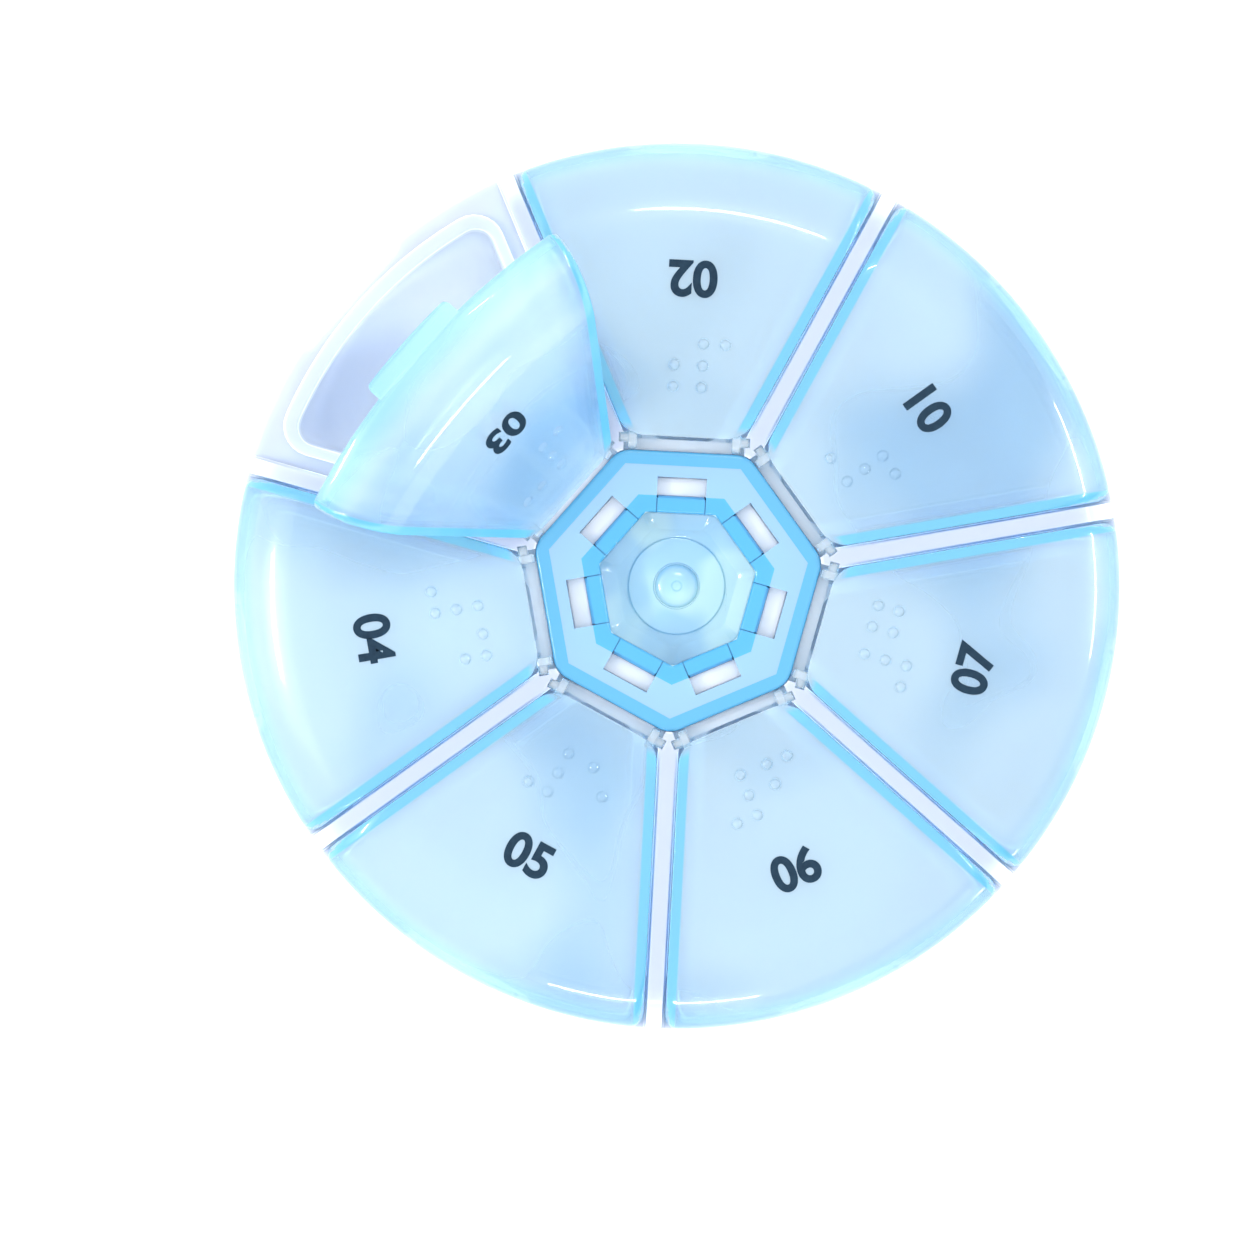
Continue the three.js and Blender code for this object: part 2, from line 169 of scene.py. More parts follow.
body_radius, bend_centre, bend_run = 46.0, 36.0, 10.0
floor_top, ledge, lip_top, rib_top, above = 1.6, 16.8, 17.8, 21.8, 24.0
lip_reach, cup_reach, cup_side = 44.342, 42.742, 3.7
hub_in, hub_out = 13.9, 15.1
hinge_x, hinge_z, hinge_near = 15.09693, 20.8, 15.397
cup_wall, draft = 1.3, math.tan(math.radians(1.5))

foot = quarter(bend_centre, bend_run, 12, -12, 20)[::-1]
crown = quarter(bend_centre, bend_run, ledge, rib_top - ledge, 16)
tray = mould("frosted_tray", [level(circle(r), z) for r, z in foot + crown])


def rib_height(x, y):
    beyond = min(max(math.hypot(x, y) - bend_centre, 0) / bend_run, 1)
    return ledge + (rib_top - ledge) * math.sqrt(1 - beyond ** 2)


def seat_room(round_over):
    """Room for a lid, flared at the top so that the ribs and the hub wall get rounded top edges."""
    rib_side, past_rim, run_out = 1.06, 2.2, 0.15

    def plan(flare):
        return bay(body_radius + past_rim, rib_side - flare, hub_out - flare, 1.2, 1.5)

    def along_ribs(points, drop, least):
        return [(x, y, ledge + max(rib_height(x, y) - ledge - drop, least)) for x, y in points]

    rings = [level(plan(0), ledge)]
    for degrees in (0, 18, 36, 54, 70):
        turn = math.radians(degrees)
        drop = round_over * (1 - math.sin(turn))
        flare = round_over * (1 - math.cos(turn))
        rings.append(along_ribs(plan(flare), drop, 0.02 + degrees / 1000))
    last = plan(flare + run_out)
    rings.append(along_ribs(last, drop - run_out / math.tan(turn), 0.12))
    rings.append(level(last, above))
    return mould("lid_seats", rings)


def lip_block(round_over):
    rings = [level(bay(lip_reach, 2.5, hub_in, 3.2, 1.2), ledge - 1)]
    for degrees in (0, 22, 45, 67, 90):
        turn = math.radians(degrees)
        inset = round_over * (1 - math.cos(turn))
        plan = bay(lip_reach - inset, 2.5 + inset, hub_in, 3.2 - inset, 1.2)
        rings.append(level(plan, lip_top - round_over * (1 - math.sin(turn))))
    return mould("lips", rings)


def cup_hollow(round_over):
    fillet = 2.0
    rings = []
    for reach, z in quarter(bend_centre, cup_reach - bend_centre, 12, floor_top - 12, 15)[::-1]:
        rise = min(max(z - floor_top, 0), fillet)
        inset = (lip_top - z) * draft + fillet - math.sqrt(fillet ** 2 - (fillet - rise) ** 2)
        rings.append(level(bay(reach, cup_side + inset, hub_out + inset, 2, 2), z))
    for degrees in (0, 22, 45, 67, 90):
        turn = math.radians(degrees)
        flare = round_over * (1 - math.cos(turn))
        plan = bay(cup_reach + flare, cup_side - flare, hub_out, 2 + flare, 2)
        rings.append(level(plan, lip_top - round_over * (1 - math.sin(turn))))
    rings.append(level(plan, above))
    return mould("cups", rings)


def bar(name, profile, half_length):
    """Bar along the tangent with a constant section, given as (distance, height)."""
    return mould(name, [[(x, y, z) for x, z in profile] for y in (half_length, -half_length)])


def notch():
    """Recess for a lid's tab, with a scoop below it for the fingertip."""
    half, face, corner = 7.4, 45.6, 0.8
    recess = [(47, -half), (face, -half), *arc(face, corner - half, corner, -math.pi / 2, -math.pi, 5)[1:]]
    recess = recess + [(x, -y) for x, y in reversed(recess)]
    piece = mould("notches", [level(recess, ledge - 2.6), level(recess, ledge + 1)])
    scoop_radius, scoop_depth, scoop_drop = 5, 2, 4.6
    centre = body_radius - scoop_depth + scoop_radius
    rings = []
    for y, inset in ((half, 0.6), (7.2, 0.25), (6.8, 0), (-6.8, 0), (-7.2, 0.25), (-half, 0.6)):
        scoop = circle(scoop_radius - inset, 96)
        rings.append([(centre + x, y, ledge - scoop_drop + z) for x, z in scoop])
    return combine(piece, mould("scoops", rings), "UNION")


def core():
    """Space under a rib, open at the underside, so that no wall is thicker than the others."""
    below, top = -1, ledge - cup_wall
    wide, narrow = (cup_side + (lip_top - z) * draft - cup_wall for z in (below, top))
    start = hub_out / math.cos(HALF_BAY) + cup_wall
    profile = [(-wide, below), (wide, below), (narrow, top), (-narrow, top)]
    piece = mould("cores", [[(x, y, z) for y, z in profile] for x in (start, body_radius)])
    piece.data.transform(Matrix.Rotation(HALF_BAY, 4, "Z"))
    return piece


seats = combine(seat_room(0.18), lip_block(0.3))
combine(tray, for_each_day(seats))
combine(tray, for_each_day(cup_hollow(0.3)))
swing = 1.487
trough = arc(hinge_x, hinge_z, swing, math.pi, 2 * math.pi, 20)
trough += [(hinge_x + swing, above), (hinge_x - swing, above)]
trough_end = half_width(hinge_near, 1.3) + 0.3
combine(tray, for_each_day(bar("troughs", trough, trough_end)))
socket_radius, half_throat = 0.72, 0.5
throat = math.asin(half_throat / socket_radius)
socket = arc(hinge_x, hinge_z, socket_radius, math.pi / 2 + throat, 5 * math.pi / 2 - throat, 28)
socket += [(hinge_x + half_throat, above), (hinge_x - half_throat, above)]
pin_tip = trough_end + 0.42
combine(tray, for_each_day(bar("sockets", socket, pin_tip + 0.1)))
combine(tray, for_each_day(notch()))
inside_foot = quarter(bend_centre, cup_reach - bend_centre, 12, floor_top - 12, 20)[::-1]
under_ribs = mould("under_ribs", [level(circle(bend_centre), -2)]
                   + [level(circle(r), z) for r, z in inside_foot] + [level(circle(cup_reach), ledge)])
combine(tray, combine(for_each_day(core()), under_ribs, "INTERSECT"))
hub_corner, hub_round, mouth = 2.7, 0.35, 0.45
hollow = [level(heptagon(hub_in, hub_corner), z) for z in (floor_top, rib_top - hub_round)]
for degrees in (30, 60, 80):
    turn = math.radians(degrees)
    flare = hub_round * (1 - math.cos(turn))
    hollow.append(level(heptagon(hub_in + flare, hub_corner + flare), rib_top - hub_round * (1 - math.sin(turn))))
hollow += [level(heptagon(hub_in + mouth, hub_corner + mouth), z) for z in (rib_top + 0.1, above)]
combine(tray, mould("hub_hollow", hollow))


def note_upward(piece):
    """Attribute of the mesh: how far each part of the surface looks up, 0 on walls and undersides."""
    upward = piece.data.attributes.new("upward", "FLOAT", "CORNER")
    for corner, normal in enumerate(piece.data.corner_normals):
        upward.data[corner].value = max(normal.vector.z, 0)


note_upward(smooth(tray))


class Value:
    """Number or colour in a material's nodes. Sums and products of numbers add their Math nodes."""

    def __init__(self, material, socket):
        self.material, self.socket = material, socket

    def math(self, operation, *others):
        return self.material.node("ShaderNodeMath", {"operation": operation}, dict(enumerate((self, *others))))

    def __add__(self, other):
        return self.math("ADD", other)

    def __sub__(self, other):
        return self.math("SUBTRACT", other)

    def __rsub__(self, other):
        return -1 * self + other

    def __mul__(self, other):
        if isinstance(other, tuple):
            return self.material.node("ShaderNodeVectorMath", {"operation": "MULTIPLY"}, {0: self, 1: other})
        return self.math("MULTIPLY", other)

    def __gt__(self, other):
        return self.math("GREATER_THAN", other)

    def __lt__(self, other):
        return self.math("LESS_THAN", other)

    __radd__ = __add__
    __rmul__ = __mul__


class Finish:
    """One material: nodes are added by type, and the shader's sockets are set at the end."""

    def __init__(self, name):
        self.made = bpy.data.materials.new(name)
        self.made.use_nodes = True
        self.tree = self.made.node_tree
        self.tree.nodes.clear()

    def node(self, kind, settings, inputs, output=0):
        node = self.tree.nodes.new(kind)
        for name, value in settings.items():
            setattr(node, name, value)
        for name, value in inputs.items():
            if isinstance(value, Value):
                self.tree.links.new(value.socket, node.inputs[name])
            else:
                node.inputs[name].default_value = value
        return Value(self, node.outputs[output])

    def place(self):
        return self.node("ShaderNodeTexCoord", {}, {}, "Object")

    def noise(self, scale, detail=2.0, roughness=0.5, where=None):
        inputs = {"Vector": where or self.place(), "Scale": scale, "Detail": detail, "Roughness": roughness}
        return self.node("ShaderNodeTexNoise", {}, inputs, "Fac")

    def ramp(self, value, start, end):
        """0 up to the start, 1 beyond the end, and a smooth rise in between."""
        inputs = {"Value": value, "From Min": start, "From Max": end}
        return self.node("ShaderNodeMapRange", {"interpolation_type": "SMOOTHSTEP"}, inputs)

    def heptagon_distance(self):
        """Distance from the hub's axis, measured square to the nearest of its seven sides."""
        x = self.node("ShaderNodeSeparateXYZ", {}, {"Vector": self.place()}, "X")
        y = self.node("ShaderNodeSeparateXYZ", {}, {"Vector": self.place()}, "Y")
        sides = [math.cos(day_angle(day)) * x + math.sin(day_angle(day)) * y for day in DAYS]
        widest = sides[0]
        for side in sides[1:]:
            widest = widest.math("MAXIMUM", side)
        return widest

    def stretched(self, scale, turn=0.0):
        inputs = {"Vector": self.place(), "Scale": scale, "Rotation": (0, 0, turn)}
        return self.node("ShaderNodeMapping", {}, inputs)

    def between(self, low, high, share):
        """Colour mixed from two by a share of 0 to 1. Each colour is three numbers or comes from other nodes."""
        ends = [end if isinstance(end, Value) else (*end, 1) for end in (low, high)]
        return self.node("ShaderNodeMix", {"data_type": "RGBA"}, {0: share, 6: ends[0], 7: ends[1]}, 2)

    def bump(self, height, strength, distance):
        inputs = {"Height": height, "Strength": strength, "Distance": distance}
        return self.node("ShaderNodeBump", {}, inputs)

    def finish(self, shader, absorbs=None):
        surface = self.node("ShaderNodeBsdfPrincipled", {}, shader)
        ends = {"Surface": surface}
        if absorbs:
            density = max(absorbs)
            clear = tuple(1 - share / density for share in absorbs)
            ends["Volume"] = self.node("ShaderNodeVolumeAbsorption", {}, {"Color": (*clear, 1), "Density": density})
        output = self.tree.nodes.new("ShaderNodeOutputMaterial")
        for name, value in ends.items():
            self.tree.links.new(value.socket, output.inputs[name])
        return self.made


white = Finish("frosted_white_polypropylene")
mottle = white.noise(90, 3)
grain = white.noise(5200, 2)
flow = white.noise(1, 2, 0.5, white.stretched((60, 60, 900)))
height = white.node("ShaderNodeSeparateXYZ", {}, {"Vector": white.place()}, "Z")
outwards = white.node("ShaderNodeVectorMath", {"operation": "LENGTH"}, {0: white.place() * (1, 1, 0)}, "Value")
upward = white.node("ShaderNodeAttribute", {"attribute_name": "upward"}, {}, "Fac")
# level faces high on the tray are painted greyer lilac: painted shade that keeps the lit tops from outshining the
# walls
beyond_hinges = white.ramp(outwards, 0.0162, 0.0172).math("MAXIMUM", white.ramp(height, 0.0212, 0.0216))
painted_top_shade = white.ramp(upward, 0.55, 0.95) * white.ramp(height, 0.0105, 0.0128) * beyond_hinges
painted_top_shade = painted_top_shade * (0.8 + 0.2 * (height > 0.0184))
# soft patches of painted shade on the cup floors
shade = 0.45 * white.ramp(white.noise(38, 1, 0.4), 0.42, 0.62) * (height < 0.0128)
# the ribs' upper sides glow faintly blue: painted light, standing in for light passed on through the plastic, that
# lightens the gaps beside the lids
painted_gap_glow = white.ramp(upward, 0.95, 0.55) * (height > 0.0179) * (outwards > 0.0172)
frosted_white = white.finish({
    "Base Color": white.between((0.92, 0.95, 1.0), (0.41, 0.465, 0.6), 0.94 * painted_top_shade + shade + 0.04 * mottle),
    "Roughness": 0.34 + 0.16 * mottle,
    "IOR": 1.49,
    "Subsurface Weight": 0.6,
    "Subsurface Radius": (1.0, 1.0, 1.0),
    "Subsurface Scale": 0.002,
    "Coat Weight": 0.4,
    "Coat Roughness": 0.12,
    "Emission Color": white.between((0, 0, 0), (0.5, 0.75, 1.0), painted_gap_glow),
    "Emission Strength": 0.95,
    "Normal": white.bump(grain + 3 * flow, 0.12, 0.00002),
})
tray.data.materials.clear()
tray.data.materials.append(frosted_white)
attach(tray, "tray_body")
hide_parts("tray")


# Snap ring. A ring of the same white plastic, welded to the floor of the hub, with a slot in each side
# for the cap's seven snap fingers. It shows only as pale shapes through the cap.
ring_in, ring_out, ring_top, ring_corner, bevel = 9.33, 11.23, 19.9, 3.1, 0.15
snap_ring = mould("welded_snap_ring", [
    level(heptagon(ring_out, ring_corner), floor_top),
    level(heptagon(ring_out, ring_corner), ring_top - bevel),
    level(heptagon(ring_out - bevel, ring_corner - bevel), ring_top)])
combine(snap_ring, mould("ring_bore", [level(heptagon(ring_in, 1.2), z) for z in (0, above)]))
slot_profile = [(8, 17.3), (12.2, 17.3), (12.2, 19.1), (8, 19.1)]
combine(snap_ring, for_each_day(bar("ring_slots", slot_profile, 2.55)))
smooth(snap_ring)
snap_ring.data.materials.clear()
snap_ring.data.materials.append(frosted_white)
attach(snap_ring, "tray_body")
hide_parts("snap_ring")


# Hub cap. One moulding in clear blue polypropylene, pressed into the hub: a flange with an outer skirt,
# and a well whose wall is slit into seven snap fingers, each under a window. A button marks the middle.
cap_apothem, cap_top, cap_foot, cap_round = 13.86, 21.3, 13.2, 0.35
flange_under, well, well_corner, well_out = 20.2, 7.5, 1.2, 9.03
plans = [(heptagon(well_out, well_corner), 14.9), (heptagon(well_out, well_corner), flange_under)]
plans += [(heptagon(12.3, 2.0), flange_under), (heptagon(12.3, 2.0), cap_foot)]
plans += [(heptagon(13.6, 2.4), cap_foot), (heptagon(cap_apothem, 2.66), cap_foot + 0.25)]
top_edge = quarter(cap_apothem - cap_round, cap_round, cap_top - cap_round, cap_round, 5)
plans += [(heptagon(apothem, apothem - 11.2), z) for apothem, z in top_edge]
mouth_round = 0.3
for degrees in (90, 70, 45, 20, 0):
    turn = math.radians(degrees)
    flare = mouth_round * (1 - math.cos(turn))
    plans.append((heptagon(well + flare, well_corner + flare), cap_top - mouth_round + mouth_round * math.sin(turn)))
# the well's floor rises in a soft chamfer to its wall, and carries a round step and the button on it
well_floor = 16.1
for inset, rise in ((0, 0.95), (0.03, 0.8), (0.12, 0.68), (1.5, 0.06), (1.6, 0.02), (1.7, 0)):
    plans.append((heptagon(well - inset, well_corner), well_floor + rise))
cap_points = 7 * 7
first = math.atan2(*reversed(heptagon(1, 0.1)[0]))
button = [(radius, rise) for radius, rise in quarter(0, 2.2, 0.29, 0.6, 8)[:-1] if radius > 0.75]
step = [(5.25, 0), (5.1, 0.04), (4.95, 0.22), (4.8, 0.25), (2.45, 0.25), (2.38, 0.1), (2.27, 0.1)]
for radius, rise in step + button + [(0.6, 0.84), (0.42, 0.72)]:
    plans.append((circle(radius, cap_points, first), well_floor + rise))
hub_cap = mould("blue_hub_cap", [level(plan, z) for plan, z in plans])


def box(name, low, high):
    corners = [(low[0], low[1]), (high[0], low[1]), (high[0], high[1]), (low[0], high[1])]
    return mould(name, [level(corners, low[2]), level(corners, high[2])])


half_window, slit = 2.55, 0.09
combine(hub_cap, for_each_day(box("windows", (well_out, -half_window, flange_under - 1), (11.2, half_window, above))))
for way in (-1, 1):
    near, far = sorted((way * (half_window - slit), way * half_window))
    combine(hub_cap, for_each_day(box("slits", (6.5, near, well_floor + 1.1), (10.1, far, above))))
hook = [(8.3, 20.1), (8.3, 17.6), (9.03, 17.6), (9.73, 18.5), (9.73, 18.8), (9.28, 18.8), (9.28, 20.1)]
combine(hub_cap, for_each_day(bar("hooks", hook, 2.4)), "UNION")
smooth(hub_cap)

blue = Finish("blue_polypropylene")
haze = blue.noise(140, 3)
side = blue.heptagon_distance()
wall = 0.88 * (side > 0.0124) + (side > 0.0075) * (side < 0.00925)
# pale patches on the well's floor: a painted reflection of the lights
painted_well_shine = blue.ramp(blue.noise(150, 1, 0.4), 0.44, 0.6)
flange = blue.between(blue.between((0.46, 0.78, 0.97), (0.68, 0.98, 1.0), painted_well_shine), (0.35, 0.61, 0.84), side > 0.0075)
scuffs = blue.noise(1, 4, 0.7, blue.stretched((4000, 260, 300), 0.5))
clear_blue = blue.finish({
    "Base Color": blue.between(flange, (0.07, 0.51, 0.88), wall * (0.9 + 0.1 * haze)),
    "Roughness": 0.1 + 0.12 * haze,
    "IOR": 1.49,
    "Transmission Weight": 0.25,
    "Alpha": 0.85,
    "Coat Weight": 0.8,
    "Coat Roughness": 0.04,
    "Normal": blue.bump(blue.noise(900, 2) + 0.3 * scuffs, 0.1, 0.00002),
}, absorbs=(190, 40, 1))
hub_cap.data.materials.clear()
hub_cap.data.materials.append(clear_blue)
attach(hub_cap, "tray_body")
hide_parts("hub_cap")


# Lids. Seven alike, moulded in pale blue polypropylene: a plate that bends down to the rim, a thin skirt
# inside it, a finger tab, and at the hub two lugs whose pins snap into the ribs.
lid_rim, lid_top, lid_near, lid_side, lid_wall = 17.1, 22.0, hinge_near, 1.12, 1.2
open_angle = math.radians(56)


def lid_skin():
    edge, soft, rim_corner, hub_corner = 0.2, 0.14, 1.2, 3
    rings = []
    for degrees in (90, 50, 20):
        turn = math.radians(degrees)
        inset = edge * (1 - math.cos(turn))
        plan = bay(body_radius - inset, lid_side + inset, lid_near + inset, rim_corner, hub_corner)
        rings.append(level(plan, lid_rim + edge * (1 - math.sin(turn))))
    for degrees in (2.4, 10, 18, 26, 34, 42, 50, 57, 63, 68, 72, 76, 79.5, 83, 86.5, 90):
        turn = math.radians(degrees)
        reach = bend_centre + bend_run * math.cos(turn)
        z = lid_rim + (lid_top - lid_rim) * math.sin(turn)
        over = max(z - (lid_top - soft), 0)
        inset = soft - math.sqrt(max(soft ** 2 - over ** 2, 0))
        rings.append(level(bay(reach, lid_side + inset, lid_near + inset * 0.5, rim_corner, hub_corner), z))
    return mould("blue_lid", rings)


def lid_vault():
    """Room under the plate. It is cut a little wider at its mouth, which thins the skirt's lower edge."""
    run, rise = bend_run - lid_wall, lid_top - lid_rim - lid_wall
    near, mouth = 12.6, 0.15
    mouth_plan = bay(bend_centre + run + mouth, 2.2 - mouth, near, 1.2, 1.8)
    rings = [level(mouth_plan, z) for z in (lid_rim - 1, lid_rim)]
    for degrees in (3, 12, 22, 32, 42, 52, 61, 69, 76, 82, 86, 90):
        turn = math.radians(degrees)
        plan = bay(bend_centre + run * math.cos(turn), 2.2, near, 1.2, 1.8)
        rings.append(level(plan, lid_rim + rise * math.sin(turn)))
    return mould("lid_vault", rings)


def finger_tab():
    rings = []
    for z, inset, half in (
            (15.0, 0.12, 5.2), (15.06, 0.04, 5.5), (15.2, 0, 5.72), (15.5, 0, 5.9), (15.9, 0, 6),
            (lid_rim, 0, 6), (17.6, 0.14, 6)):
        turn = math.asin(half / body_radius)
        outer = arc(0, 0, body_radius - inset, -turn, turn, 24)
        rings.append(level(outer + [(45.05 + inset, half), (45.05 + inset, -half)], z))
    return mould("finger_tab", rings)


def lug(way):
    """Round lug at one end of a lid's hinge edge, with its pin."""
    inset, width = 0.8, 0.9
    end = half_width(lid_near, lid_side) - inset + width / 2
    start = end - width
    rings = []
    for y, radius in (
            (start, 1.05), (start + 0.1, 1.15), (end - 0.1, 1.15), (end, 1.05),
            (end, 0.6), (pin_tip - 0.12, 0.6), (pin_tip, 0.46)):
        rings.append([(hinge_x + x, way * y, hinge_z + z) for x, z in circle(radius, 28)])
    return mould("lug", rings)


lid = combine(lid_skin(), lid_vault())
relief = [(lid_near - 1, hinge_z), (lid_near, hinge_z), (lid_near + 4.7, lid_rim - 1), (lid_near - 1, lid_rim - 1)]
combine(lid, bar("skirt_relief", relief, body_radius))
combine(lid, finger_tab(), "UNION")
for way in (-1, 1):
    combine(lid, lug(way), "UNION")

pale = Finish("pale_blue_polypropylene")
in_plan = pale.node("ShaderNodeUVMap", {"uv_map": "plan"}, {})
out = pale.node("ShaderNodeSeparateXYZ", {}, {"Vector": in_plan}, "X")
across = pale.node("ShaderNodeSeparateXYZ", {}, {"Vector": in_plan}, "Y").math("ABSOLUTE")
from_rib = math.sin(HALF_BAY) * out - math.cos(HALF_BAY) * across
from_hub = (out * out + across * across).math("SQRT")
# the side walls show through the plate as brighter lines, and deeper blue where their inner faces are seen; their
# outer faces keep the plate's paler colour, painted light in the gaps beside the ribs
skirt = pale.ramp(from_rib, 0.00235, 0.00205) * pale.ramp(out, 0.0158, 0.0168)
rim = pale.ramp(from_hub, 0.0435, 0.0462)
# broad darker and lighter patches on the plates are painted shade; the same noise varies the roughness as a real haze
haze_and_painted_shade = pale.ramp(pale.noise(42, 1.5, 0.4), 0.3, 0.56)
speck = pale.noise(2600, 1) > 0.79
drag = pale.noise(1, 5, 0.7, pale.stretched((5200, 220, 240), 0.9))
plate = pale.between((0.45, 0.68, 0.87), (0.74, 0.9, 0.98), haze_and_painted_shade)
# the lugs and the plate's hinge edge are painted near white: a painted reflection of the lights on their round
# surfaces
plate = pale.between(plate, (0.84, 0.87, 0.89), pale.ramp(out, 0.0156, 0.0153))
inner_face = from_rib < 0.0006
edge = pale.between((0.25, 0.8, 1.0), (0.02, 0.28, 0.85), inner_face)
pale_blue = pale.finish({
    "Base Color": pale.between(plate, edge, skirt.math("MAXIMUM", 0.55 * rim)),
    "Roughness": 0.12 + 0.1 * haze_and_painted_shade + 0.04 * speck,
    "IOR": 1.49,
    "Specular IOR Level": 0.2,
    "Transmission Weight": 0.6,
    "Alpha": 0.75 + 0.25 * skirt,
    "Coat Weight": 1.0,
    "Coat Roughness": 0.035,
    "Normal": pale.bump(pale.noise(520, 2) + 0.25 * drag, 0.12, 0.00003),
}, absorbs=(110, 32, 1))


# Tactile dots. Small domes moulded with each lid between its number and the hub: the sign for a number
# and then the day's digit, read with the hub at the top as the printed number is.
dot_pitch, half_cells, dot_radius, dot_rise = 2.25, 2.6, 0.62, 0.42
DOTS = {1: (1,), 2: (1, 2), 3: (1, 4), 4: (1, 4, 5), 5: (1, 5), 6: (1, 2, 4), 7: (1, 2, 4, 5)}


def dot_places(day):
    """Plan places of one lid's dots about +X, where reading runs along +Y and the cell's top faces the hub."""
    for cell, dots in ((-half_cells, (3, 4, 5, 6)), (half_cells, DOTS[day])):
        for dot in dots:
            column, row = divmod(dot - 1, 3)
            yield 20.6 + dot_pitch * row, cell + dot_pitch * (column - 0.5)


def dome(x, y):
    rings = []
    for degrees, drop in ((0, 0.12), (8, 0), (30, 0), (55, 0), (75, 0)):
        turn = math.radians(degrees)
        plan = [(x + px, y + py) for px, py in circle(dot_radius * math.cos(turn), 20)]
        rings.append(level(plan, lid_top - 0.06 - drop + dot_rise * math.sin(turn)))
    return mould("dome", rings)


for day in DAYS:
    own = copy_of(lid, f"blue_lid_day_{day}")
    bpy.ops.object.select_all(action="DESELECT")
    domes = [dome(x, y) for x, y in dot_places(day)]
    for piece in domes:
        piece.select_set(True)
    bpy.ops.object.join()
    combine(own, bpy.context.object, "UNION")
    # each corner's place in plan before the lid is turned, from which the material finds the side walls
    wall_reach, hinge_end = 0.004, 0.0163
    plan = own.data.uv_layers.new(name="plan")
    for face in own.data.polygons:
        beside = abs(face.normal.y) > 0.8 and face.center.z < lid_top * MM
        # outer faces, looking into the gaps beside the ribs, are moved out of the deep blue band: painted light in
        # those gaps
        inset = 0 if face.normal.y * face.center.y < 0 else wall_reach
        for corner in face.loop_indices:
            place = own.data.vertices[own.data.loops[corner].vertex_index].co
            aside = (math.sin(HALF_BAY) * place.x - inset) / math.cos(HALF_BAY)
            plan.data[corner].uv = (place.x, aside) if beside and place.x > hinge_end else place.xy
    if day == 3:
        turned = copy_of(own, own.name, -open_angle, (hinge_x, 0, hinge_z), "Y")
        bpy.data.objects.remove(own)
        own = turned
    placed = copy_of(own, f"blue_lid_day_{day}", day_angle(day))
    bpy.data.objects.remove(own)
    placed.name = placed.data.name = f"blue_lid_day_{day}"
    smooth(placed)
    placed.data.materials.clear()
    placed.data.materials.append(pale_blue)
    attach(placed, f"lid_{day}")
    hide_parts(f"lid_day_{day}")
bpy.data.objects.remove(lid)


# Numbers. Plain two-digit day numbers, pad-printed in dark slate ink on each lid near its rim, a few
# hundredths of a millimetre thick, with their tops towards the hub.
ink = Finish("slate_ink")
number_out, number_height, ink_height = 32.0, 5.1, 0.015
wear = ink.noise(1500, 3)
slate = ink.finish({
    "Base Color": ink.between((0.006, 0.02, 0.04), (0.018, 0.045, 0.075), wear),
    "Roughness": 0.38 + 0.2 * wear,
    "Specular IOR Level": 0.12,
    "Normal": ink.bump(wear, 0.15, 0.00001),
})
for day in DAYS:
    bpy.ops.object.select_all(action="DESELECT")
    bpy.ops.object.text_add(location=(0, 0, 0))
    words = bpy.context.object
    words.data.body = f"{day:02d}"
    words.data.align_x = "CENTER"
    words.data.align_y = "CENTER"
    words.data.size = number_height * MM
    words.data.offset = 0.16 * MM
    words.data.extrude = 0.02 * MM
    words.data.resolution_u = 10
    bpy.ops.object.convert(target="MESH")
    number = bpy.context.object
    number.name = number.data.name = f"number_day_{day}"
    bpy.ops.object.mode_set(mode="EDIT")
    bpy.ops.mesh.select_all(action="SELECT")
    bpy.ops.mesh.remove_doubles(threshold=0.00000005)
    bpy.ops.mesh.normals_make_consistent(inside=False)
    bpy.ops.object.mode_set(mode="OBJECT")
    place = Matrix.Translation(Vector((number_out, 0, lid_top + ink_height)) * MM)
    flat = place @ Matrix.Rotation(math.pi / 2, 4, "Z")
    number.data.transform(flat)
    if day == 3:
        hinge = Matrix.Translation(Vector((hinge_x, 0, hinge_z)) * MM)
        number.data.transform(hinge @ Matrix.Rotation(-open_angle, 4, "Y") @ hinge.inverted())
    number.data.transform(Matrix.Rotation(day_angle(day), 4, "Z"))
    number.data.materials.clear()
    number.data.materials.append(slate)
    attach(number, f"lid_{day}")


# Stage. A plain white table, an even white surround, a grey card that shades the near right, a few small
# softboxes and a camera straight above at the photograph's distance, turned as the object lies in it.
roll_degrees = 3
bpy.ops.object.select_all(action="DESELECT")
bpy.ops.mesh.primitive_grid_add(x_subdivisions=8, y_subdivisions=8, size=6)
table = bpy.context.object
table.name = table.data.name = "white_table"
paper = Finish("white_table_top")
table.data.materials.append(paper.finish({
    "Base Color": paper.between((0.93, 0.935, 0.94), (0.95, 0.95, 0.95), paper.noise(30, 2)),
    "Roughness": 0.9,
}))

turn = math.radians(318 + roll_degrees)
bpy.ops.object.select_all(action="DESELECT")
bpy.ops.mesh.primitive_grid_add(x_subdivisions=4, y_subdivisions=4, size=1.5)
card = bpy.context.object
card.name = card.data.name = "grey_card"
upright = Matrix.Rotation(turn, 4, "Z") @ Matrix.Rotation(math.pi / 2, 4, "Y") @ Matrix.Diagonal((0.47, 1, 1, 1))
card.data.transform(Matrix.Translation(Vector((math.cos(turn), math.sin(turn), 0.36))) @ upright)
felt = Finish("grey_felt")
card.data.materials.append(felt.finish({
    "Base Color": felt.between((0.2, 0.23, 0.28), (0.24, 0.27, 0.32), felt.noise(50, 2)),
    "Roughness": 0.95,
}))

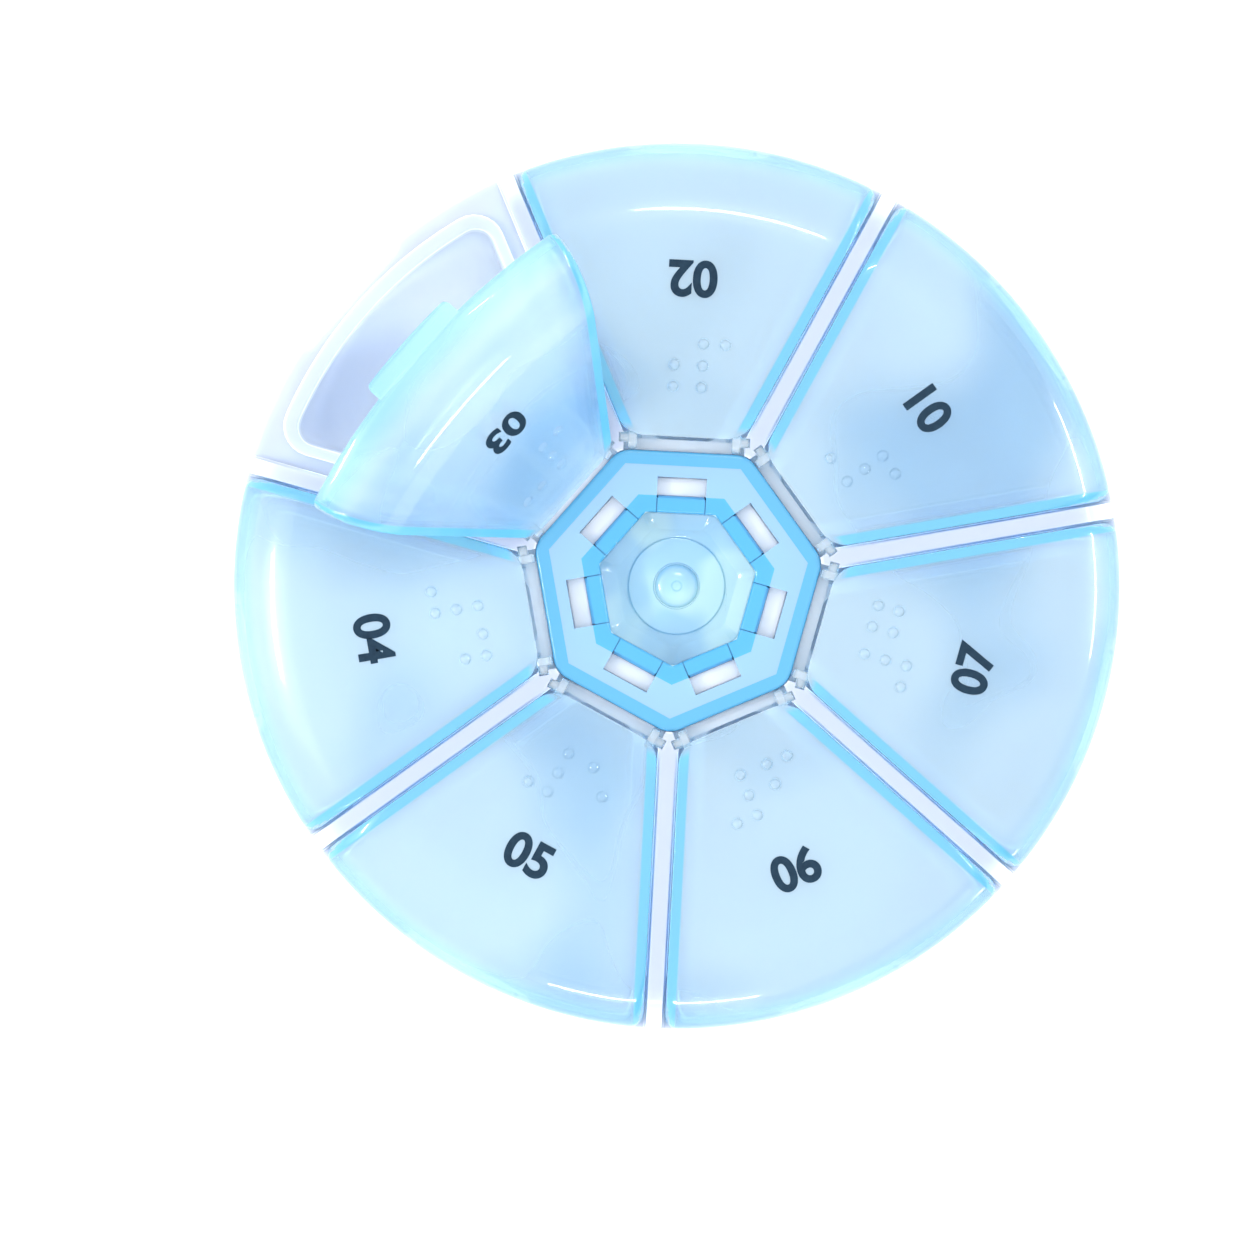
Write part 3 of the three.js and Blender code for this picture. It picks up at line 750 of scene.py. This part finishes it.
world = bpy.data.worlds.new("white_surround")
bpy.context.scene.world = world
world.use_nodes = True
world.node_tree.nodes["Background"].inputs["Color"].default_value = (0.97, 0.985, 1, 1)
world.node_tree.nodes["Background"].inputs["Strength"].default_value = 1.38

# direction in the picture (degrees from its right), degrees from overhead, distance, size, watts
for name, around, tilt, distance, size, watts in (
        ("softbox_far", 81, 22, 1.0, (0.19, 0.018), 0.6),
        ("soft_wall", 174, 50, 1.2, (0.9, 0.9), 2.6),
        ("softbox_left", 184, 44, 0.9, (0.2, 0.045), 1.6),
        ("softbox_right", 8, 60, 0.9, (0.5, 0.02), 1.9),
        ("softbox_near", 267, 58, 0.9, (0.4, 0.014), 1.45),
        ("low_window", 318, 84, 0.8, (0.12, 0.02), 0.3)):
    turn, lean = math.radians(around + roll_degrees), math.radians(tilt)
    direction = Vector((math.cos(turn) * math.sin(lean), math.sin(turn) * math.sin(lean), math.cos(lean)))
    lamp = bpy.data.lights.new(name, "AREA")
    lamp.shape = "RECTANGLE"
    lamp.size, lamp.size_y = size
    lamp.energy = watts
    light = bpy.data.objects.new(name, lamp)
    bpy.context.scene.collection.objects.link(light)
    light.location = direction * distance + Vector((0, 0, 0.02))
    light.rotation_euler = direction.to_track_quat("Z", "Y").to_euler()

pixels, px_per_mm, centre_px = 1260, 9.63, (676.6, 586.0)
roll = math.radians(roll_degrees)
aside = (pixels / 2 - centre_px[0]) / px_per_mm
up = (centre_px[1] - pixels / 2) / px_per_mm
lens = bpy.data.cameras.new("overhead_camera")
camera = bpy.data.objects.new("overhead_camera", lens)
bpy.context.scene.collection.objects.link(camera)
camera_height, sensor = 1100, 36
lens.sensor_width = sensor
lens.lens = sensor * (camera_height - lid_rim) / (pixels / px_per_mm)
lens.clip_end = 20
camera.location = Matrix.Rotation(roll, 3, "Z") @ Vector((aside, up, camera_height)) * MM
camera.rotation_euler = (0, 0, roll)
bpy.context.scene.camera = camera
bpy.context.scene.view_settings.view_transform = "Standard"
bpy.context.scene.cycles.diffuse_bounces = 8
bpy.context.scene.cycles.transparent_max_bounces = 16
